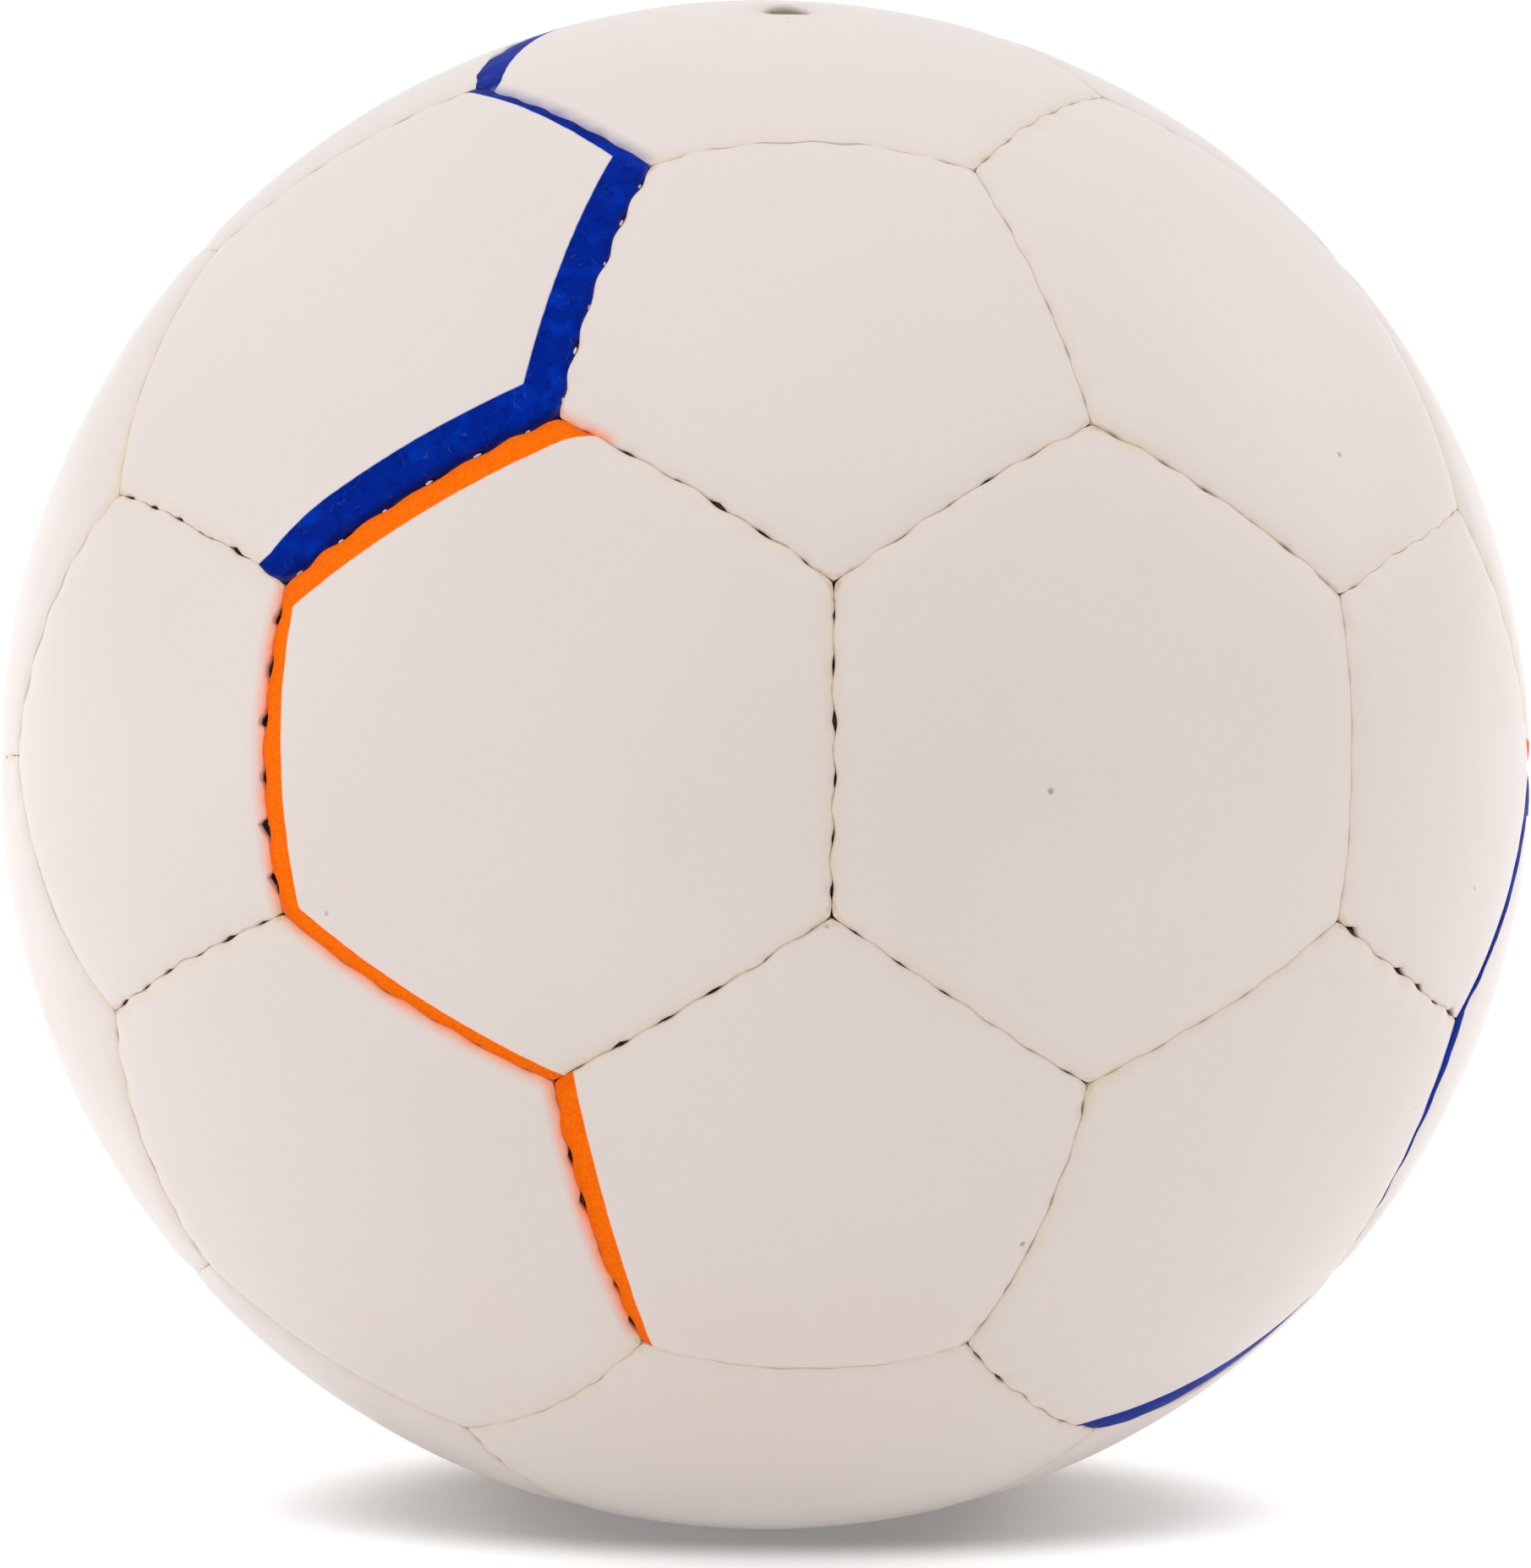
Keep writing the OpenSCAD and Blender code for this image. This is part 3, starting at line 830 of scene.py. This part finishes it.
    grain = trees.node("ShaderNodeTexVoronoi", dict(feature="F1"),
                       {"Vector": place_mm, "Scale": 1.7})
    creases = trees.noise(place_mm, 0.5, 5.0, 0.6)
    height = grain.wire("Distance") * 0.25 + fine * 0.25 + creases * 0.9 + ring_line * 0.3
    normal = bump(trees, height, 0.16, 0.00022)
    skin = trees.node("ShaderNodeBsdfPrincipled", inputs={
        "Base Color": shade, "Roughness": gloss, "Normal": normal,
        "Specular IOR Level": 0.42}).wire()
    if inked is not None:
        ink_coat = trees.node("ShaderNodeBsdfPrincipled", inputs={
            "Base Color": shade, "Roughness": gloss + 0.08, "Normal": normal,
            "Specular IOR Level": 0.01}).wire()
        skin = trees.node("ShaderNodeMixShader", inputs={0: inked, 1: skin, 2: ink_coat}).wire()
    trees.node("ShaderNodeOutputMaterial", inputs={"Surface": skin})
    return material


def thread_material():
    """Waxed black-brown thread, with the twist of its plies."""
    material, trees = new_material("waxed thread")
    place_mm = in_mm(trees)
    x, y, z = trees.parts(place_mm)
    twist = ((x + y * 1.3 + z * 0.8) * 9.0).maths("SINE")
    worn = trees.noise(place_mm, 1.5, 2.0)
    shade = trees.mix_colour(worn.ramp(0.4, 0.7), colour(30, 20, 14), colour(74, 58, 44))
    shade = trees.mix_colour(twist.ramp(0.2, 0.9) * 0.4, shade, colour(14, 9, 6))
    surface(trees, shade, 0.65 + worn * 0.2, bump(trees, twist * 0.5 + worn, 0.4, 0.00012),
            **{"Specular IOR Level": 0.12})
    return material


def pale_thread_material():
    """The undyed ends of the thread, grey-white."""
    material, trees = new_material("pale thread")
    place_mm = in_mm(trees)
    worn = trees.noise(place_mm, 1.6, 3.0)
    x, y, z = trees.parts(place_mm)
    twist = ((x - y * 1.1 + z) * 11.0).maths("SINE")
    shade = trees.mix_colour(worn.ramp(0.35, 0.7), colour(232, 222, 210), colour(150, 138, 126))
    surface(trees, shade, 0.6 + worn * 0.2, bump(trees, twist + worn, 0.4, 0.0001))
    return material


def rubber(name, light, dark, roughness):
    """Moulded rubber with a bloom of dust."""
    material, trees = new_material(name)
    place_mm = in_mm(trees)
    bloom = trees.noise(place_mm, 0.35, 4.0)
    fine = trees.noise(place_mm, 4.0, 2.0)
    shade = trees.mix_colour(bloom.ramp(0.35, 0.7), dark, light)
    surface(trees, shade, roughness + bloom * 0.2, bump(trees, fine * 0.4 + bloom, 0.25, 0.0002))
    return material


def cloth(name, warp, weft, pitch):
    """Woven cotton backing: two sets of yarns that pass over and under each other."""
    material, trees = new_material(name)
    place_mm = in_mm(trees)
    x, y, z = trees.parts(place_mm)
    u = (x + z * 0.6) * (math.pi / pitch)
    v = (y - z * 0.5) * (math.pi / pitch)
    over = u.maths("SINE") * v.maths("SINE")
    ribs = u.maths("SINE").maths("ABSOLUTE") * 0.5 + v.maths("SINE").maths("ABSOLUTE") * 0.5
    soil = trees.noise(place_mm, 0.06, 3.0)
    shade = trees.mix_colour(over.ramp(-0.3, 0.3), warp, weft)
    shade = trees.mix_colour(soil.ramp(0.45, 0.75) * 0.3, shade, colour(170, 150, 118))
    surface(trees, shade, 0.8 + (soil - 0.5) * 0.1, bump(trees, ribs + over * 0.4, 0.5, 0.0003))
    return material


# The cover: each panel stands for its CAD node

leather_kinds = {}


def seam_marks(table, panel):
    """The planes of a panel's stripes, and of its bled dye and painted shadow."""
    found = []
    for here, neighbour, towards, *rest in table:
        if not same(here, panel):
            continue
        _, normal, along = seam(here, neighbour)
        if along.dot(towards) < 0:
            along = -along
        found.append((normal, along, bow_of(here, neighbour), *rest))
    return found


def leather_for(name, panel):
    stripes, dyes_and_shadows = seam_marks(STRIPES, panel), seam_marks(DYE_AND_SHADOWS, panel)
    if name == "valve_panel":
        return leather("leather of the valve panel", stripes, dyes_and_shadows, hole=True)
    if not stripes and not dyes_and_shadows:
        if "plain" not in leather_kinds:
            leather_kinds["plain"] = leather("white leather", [], [])
        return leather_kinds["plain"]
    return leather("striped leather " + name, stripes, dyes_and_shadows)


def node_direction(name):
    low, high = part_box(name)
    return ((low + high) / 2).normalized()


cover_nodes = [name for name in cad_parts
               if name == "valve_panel" or "_panel_" in name]
form = panel_tree()
for name in sorted(cover_nodes):
    heading = node_direction(name)
    panel = min(all_panels, key=lambda axis: axis.angle(heading))
    sides = sides_of(panel)
    facing = min((n for n in neighbours(panel) if sides_of(n) == 6), key=panel.angle)
    x_axis = (facing - panel.dot(facing) * panel).normalized()
    turn = Matrix((x_axis, panel.cross(x_axis), panel)).transposed()
    turn_axis, turn_angle = turn.to_quaternion().to_axis_angle()
    values = {
        "Sides": sides,
        "Seam angle": seam_angle(panel),
        "Turn axis": tuple(turn_axis),
        "Turn": turn_angle,
        "Material": leather_for(name, panel),
    }
    if name == "valve_panel":
        values["Hole radius"] = COVER_HOLE_R
        values["Hole rows"] = 4
        values["Hole centre"] = tuple(turn.transposed() @ Vector((0, 0, 1)))
    for k in range(sides):
        way = turn @ Vector((math.cos(k * math.tau / sides), math.sin(k * math.tau / sides), 0))
        neighbour = max(neighbours(panel), key=way.dot)
        values[f"Bow {k}"] = bow_of(panel, neighbour)
        values[f"Pull {k}"] = pull_of(panel, neighbour)
    piece = grown("cover_" + name, form, values)
    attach(piece, "root")
    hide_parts(name)

# Stitches: where the thread shows in the seams

STITCH_INPUTS = [
    ("Stitches", "NodeSocketInt", STITCHES_A_SEAM),
    ("Seam arc", "NodeSocketFloat", math.radians(SEAM_ARC)),
    ("Ball radius", "NodeSocketFloat", BALL_R),
    ("Sunk", "NodeSocketFloat", 0.8),
    ("Length", "NodeSocketFloat", 1.8),
    ("Width", "NodeSocketFloat", 0.6),
    ("Least size", "NodeSocketFloat", 0.2),
    ("Along by", "NodeSocketFloat", 0.0),
    ("Jitter", "NodeSocketFloat", 0.3),
    ("Seed", "NodeSocketInt", 7),
    ("Material", "NodeSocketMaterial", None),
]


def stitch_tree():
    """A bead of thread at each stitch of the seams, whose points seam_mesh makes."""
    group, trees, g = new_tree("stitches along the seams", STITCH_INPUTS)
    copied = trees.node("GeometryNodeDuplicateElements", dict(domain="POINT"),
                        {"Geometry": g["Geometry"], "Amount": g["Stitches"]})
    which = copied.wire("Duplicate Index")

    def kept(label, kind="FLOAT_VECTOR"):
        return trees.node("GeometryNodeInputNamedAttribute", dict(data_type=kind),
                          {"Name": label}).wire(0)

    def chance(low, high, salt):
        return trees.node("FunctionNodeRandomValue", dict(data_type="FLOAT"),
                          {2: low, 3: high, "Seed": g["Seed"] + float(salt)}).wire(1)

    middle, along, bow = kept("seam_middle"), kept("seam_along"), kept("seam_bow")
    step = (which + 0.5 + g["Along by"]) / g["Stitches"] - 0.5
    s = step * g["Seam arc"] + chance(-0.5, 0.5, 1) * g["Jitter"] / g["Ball radius"]
    cos_s, sin_s = s.maths("COSINE"), s.maths("SINE")
    unit = trees.join("ADD", trees.join("SCALE", middle, scale=cos_s),
                      trees.join("SCALE", along, scale=sin_s))
    bowed = trees.join("SCALE", bow, scale=(1.0 - step * step * 4.0) / g["Ball radius"])
    unit = trees.join("NORMALIZE", trees.join("ADD", unit, bowed))
    forward = trees.join("SUBTRACT", trees.join("SCALE", along, scale=cos_s),
                         trees.join("SCALE", middle, scale=sin_s))
    spot_mm = trees.join("SCALE", unit, scale=g["Ball radius"])
    size = pulled(trees, spot_mm) * (1.0 - g["Least size"]) + g["Least size"]
    pull = kept("seam_pull", "FLOAT")
    size = size * chance(0.75, 1.1, 2) * (0.2 + pull.smallest(1.0) * 0.8)
    sunk = g["Sunk"] + (1.0 - size) * 0.4
    spot = trees.join("SCALE", unit, scale=(g["Ball radius"] - sunk) * MM)
    placed = trees.node("GeometryNodeSetPosition", inputs={
        "Geometry": copied.wire(0), "Position": spot})
    bead = trees.node("GeometryNodeMeshUVSphere", inputs={
        "Segments": 8, "Rings": 6, "Radius": 1.0})
    round_bead = trees.node("GeometryNodeSetShadeSmooth", inputs={"Geometry": bead.wire(0)})
    facing = trees.node("FunctionNodeAxesToRotation", dict(primary_axis="Z", secondary_axis="X"),
                        {0: unit, 1: forward})
    scale = trees.vector(g["Length"] * 0.5 * MM * (0.35 + 0.65 * size),
                         g["Width"] * 0.5 * MM * (0.5 + 0.5 * size), g["Width"] * 0.55 * MM)
    threads = trees.node("GeometryNodeInstanceOnPoints", inputs={
        "Points": placed.wire(0), "Instance": round_bead.wire(0),
        "Rotation": facing.wire(0), "Scale": scale})
    end_tree(trees, threads, g["Material"])
    return group


def seam_mesh(name, pairs):
    """A point for each seam, with the seam's middle, the way along it, its bow and its pull."""
    mesh = bpy.data.meshes.new(name)
    rows = []
    for a, b in pairs:
        middle, normal, along = seam(a, b)
        rows.append((middle, along, normal * bow_of(a, b)))
    mesh.from_pydata([middle * BALL_R * MM for middle, _, _ in rows], [], [])
    for label, part in (("seam_middle", 0), ("seam_along", 1), ("seam_bow", 2)):
        attribute = mesh.attributes.new(label, "FLOAT_VECTOR", "POINT")
        attribute.data.foreach_set("vector", [c for row in rows for c in row[part]])
    attribute = mesh.attributes.new("seam_pull", "FLOAT", "POINT")
    attribute.data.foreach_set("value", [pull_of(a, b) for a, b in pairs])
    return mesh


seams = [(a, b) for i, a in enumerate(all_panels) for b in all_panels[i + 1:]
         if any(b is n for n in neighbours(a))]
dark_thread = thread_material()
pale_thread = pale_thread_material()
sewn = stitch_tree()
stitches = grown("stitches", sewn, {"Material": dark_thread}, seam_mesh("all_seams", seams))
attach(stitches, "root")

# Ends of pale thread show beside the first two stripes and their copies
striped_seams = [(panel, beside) for panel, beside, *_ in STRIPES[:4]]
thread_ends = grown("thread_ends", sewn, {
    "Material": pale_thread, "Along by": 0.12, "Length": 1.1, "Width": 0.34, "Sunk": 0.38,
    "Least size": 0.45, "Seed": 23}, seam_mesh("striped_seams", striped_seams))
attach(thread_ends, "root")

# The CAD nodes that stay


def dress(name, material):
    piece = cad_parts[name]
    piece.data.materials.clear()
    piece.data.materials.append(material)


cotton = cloth("woven cotton lining", colour(226, 216, 190), colour(204, 192, 164), 0.7)
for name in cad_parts:
    if name.startswith("seam_threads"):
        dress(name, dark_thread)
dress("hexagon_linings", cotton)
dress("pentagon_linings", cotton)
dress("valve_patch", cloth("canvas patch", colour(190, 180, 156), colour(160, 150, 128), 0.9))
dress("bladder", rubber("latex bladder", colour(60, 56, 52), colour(34, 32, 30), 0.5))
dress("valve_stem", rubber("grey valve rubber", colour(120, 112, 104), colour(88, 80, 74), 0.55))
dress("valve_core", rubber("soft core rubber", colour(104, 96, 88), colour(70, 62, 56), 0.5))

# Floor, light and camera

FLOOR_Z = -(BALL_R + 0.04) * MM
FLOOR_HALF = 14.0
SHADOW_X, SHADOW_Y = 4.2, -7.0
TENT_LEVEL = 0.97
OPENING_DROP = 0.28
CAMERA_RADII = 11.2


def make_floor():
    mesh = bpy.data.meshes.new("studio_floor")
    corners = [(x * FLOOR_HALF, y * FLOOR_HALF, FLOOR_Z)
               for x, y in ((-1, -1), (1, -1), (1, 1), (-1, 1))]
    mesh.from_pydata(corners, [], [(0, 1, 2, 3)])
    floor = bpy.data.objects.new("studio_floor", mesh)
    link(floor)
    material, trees = new_material("white paper floor")
    place_mm = in_mm(trees)
    tooth = trees.noise(place_mm, 0.8, 3.0)
    light = trees.node("ShaderNodeLightPath")
    seen = light.wire("Is Camera Ray").largest(light.wire("Is Glossy Ray")).largest(
        light.wire("Is Transmission Ray"))
    # Painted light: glow seen by the camera and in reflections lies on the paper round the ball
    # Beyond the ball's close shadow, which lies a little to the right, the paper burns out to white
    x, y, _ = trees.parts(place_mm)
    beyond = y - SHADOW_Y
    in_front = beyond < 0.0
    from_ball = trees.join("LENGTH", trees.vector(x - SHADOW_X, beyond * (2.5 + in_front), 0.0))
    # Painted light just under the ball, which makes its close shadow paler
    painted_light_under_ball = 1.0 - trees.join("LENGTH", trees.vector(x, y, 0.0)).smooth(10.0, 32.0)
    painted_floor_light = 0.01 + painted_light_under_ball * 0.18 + from_ball.smooth(44.0, 81.0) * 0.55
    fibres = bump(trees, tooth, 0.05, 0.0002)
    warm, cool = (
        trees.node("ShaderNodeBsdfDiffuse", inputs={"Color": white, "Normal": fibres}).wire(0)
        for white in (colour(245, 243, 240), colour(249, 251, 253)))
    paper = trees.node("ShaderNodeMixShader", inputs={0: seen, 1: warm, 2: cool})
    glow = trees.node("ShaderNodeEmission", inputs={
        "Color": (1, 1, 1, 1), "Strength": seen * painted_floor_light})
    both = trees.node("ShaderNodeAddShader", inputs={0: paper.wire(0), 1: glow.wire(0)})
    trees.node("ShaderNodeOutputMaterial", inputs={"Surface": both.wire(0)})
    mesh.materials.append(material)


def make_world():
    world = bpy.data.worlds.new("light tent")
    world.use_nodes = True
    world.node_tree.nodes.clear()
    trees = Trees(world.node_tree)
    light = trees.node("ShaderNodeLightPath")
    seen = light.wire("Is Camera Ray").largest(light.wire("Is Transmission Ray"))
    looking = trees.node("ShaderNodeTexCoord").wire("Generated")
    opening = trees.join("DOT_PRODUCT", looking, (0.0, -0.97, 0.24)).smooth(0.45, 0.85)
    tent_level = TENT_LEVEL - opening * OPENING_DROP
    level = tent_level + (1.0 - tent_level) * seen
    tent = trees.node("ShaderNodeBackground", inputs={"Color": (1, 1, 1, 1), "Strength": level})
    trees.node("ShaderNodeOutputWorld", inputs={"Surface": tent.wire(0)})
    bpy.context.scene.world = world


def make_lamp(name, spot, size, power):
    """A round soft lamp that faces the ball."""
    lamp = bpy.data.lights.new(name, "AREA")
    lamp.shape = "DISK"
    lamp.size = size
    lamp.energy = power
    thing = bpy.data.objects.new(name, lamp)
    thing.location = spot
    thing.rotation_euler = (-Vector(spot)).to_track_quat("-Z", "Y").to_euler()
    link(thing)


def make_camera():
    """The camera of the photograph, from the run of its seams."""
    view_turn = Vector((-0.01859, 0.08332, -0.00739))
    seen = Matrix.Rotation(view_turn.length, 3, view_turn.normalized())
    back_to_ball = tilt @ seen.transposed()
    right, up, back = (back_to_ball @ Vector(v) for v in ((1, 0, 0), (0, 1, 0), (0, 0, 1)))
    camera = bpy.data.cameras.new("camera")
    camera.sensor_fit = "AUTO"
    camera.sensor_width = 36.0
    camera.lens = 195.86
    camera.shift_x = 0.0003
    camera.shift_y = -0.0125
    camera.clip_start = 0.1
    camera.clip_end = 60.0
    stand = bpy.data.objects.new("camera", camera)
    turn = Matrix((right, up, back)).transposed().to_4x4()
    stand.matrix_world = Matrix.Translation(back * CAMERA_RADII * BALL_R * MM) @ turn
    link(stand)
    bpy.context.scene.camera = stand


make_camera()
make_world()
make_floor()
make_lamp("overhead_softbox", (0.2, -0.4, 1.6), 1.6, 4.0)
make_lamp("left_softbox", (-1.6, -0.3, 0.5), 1.2, 3.4)
make_lamp("right_softbox", (1.6, 0.5, 0.9), 1.0, 1.6)
bpy.context.scene.view_settings.view_transform = "Standard"
